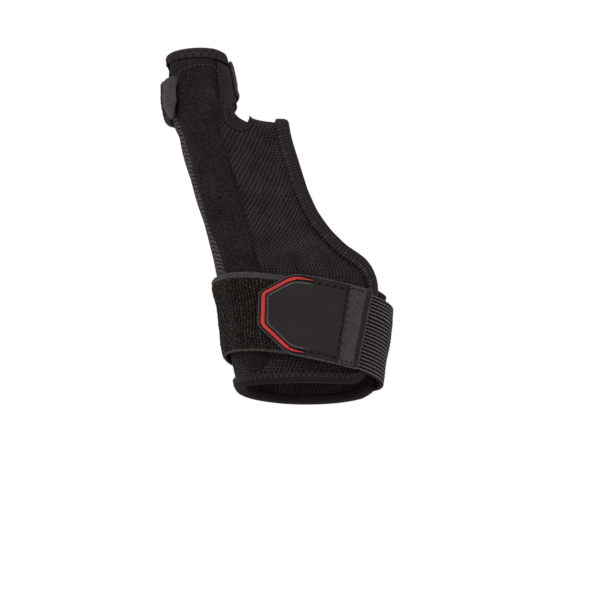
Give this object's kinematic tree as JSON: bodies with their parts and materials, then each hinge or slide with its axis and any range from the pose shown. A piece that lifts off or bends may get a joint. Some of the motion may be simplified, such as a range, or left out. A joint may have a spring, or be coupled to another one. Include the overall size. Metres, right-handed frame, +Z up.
{
  "type": "thumb spica splint",
  "caption": "Thumb and wrist splint of spacer mesh in worn form, with stay pocket, bound edges, ribbed elastic wrist strap, end tab and thumb strap.",
  "frame": {"origin": "middle of the wrist opening, half way up the wrist strap, where a wrist holds the splint", "axes": "+Z up the forearm towards the fingers and the thumb's tip, +X towards the little-finger side, +Y towards the palm"},
  "size_m": [0.1186, 0.0631, 0.1801],
  "materials": {
    "mesh_fabric": "matt spacer mesh",
    "binding_fabric": "matt folded binding",
    "brushed_fabric": "brushed loop",
    "loop_fabric": "coarse loop pile",
    "elastic_webbing": "ribbed",
    "smooth_vinyl": "satin, fine grain",
    "grained_vinyl": "satin, leather grain",
    "red_trim": "satin"
  },
  "bodies": {
    "root": {"fabric_shell": "mesh_fabric", "hand_edge_binding": "binding_fabric", "hem_binding": "binding_fabric", "thumb_hole_facing": "binding_fabric", "sleeve_rim": "binding_fabric", "stay_pocket": "brushed_fabric", "wrist_loop_panel": "loop_fabric", "elastic_strap": "elastic_webbing", "strap_tab": "smooth_vinyl", "tab_end_strip": "grained_vinyl", "tab_trim": "red_trim", "thumb_strap": "loop_fabric", "thumb_tab": "grained_vinyl"}
  },
  "joints": []
}
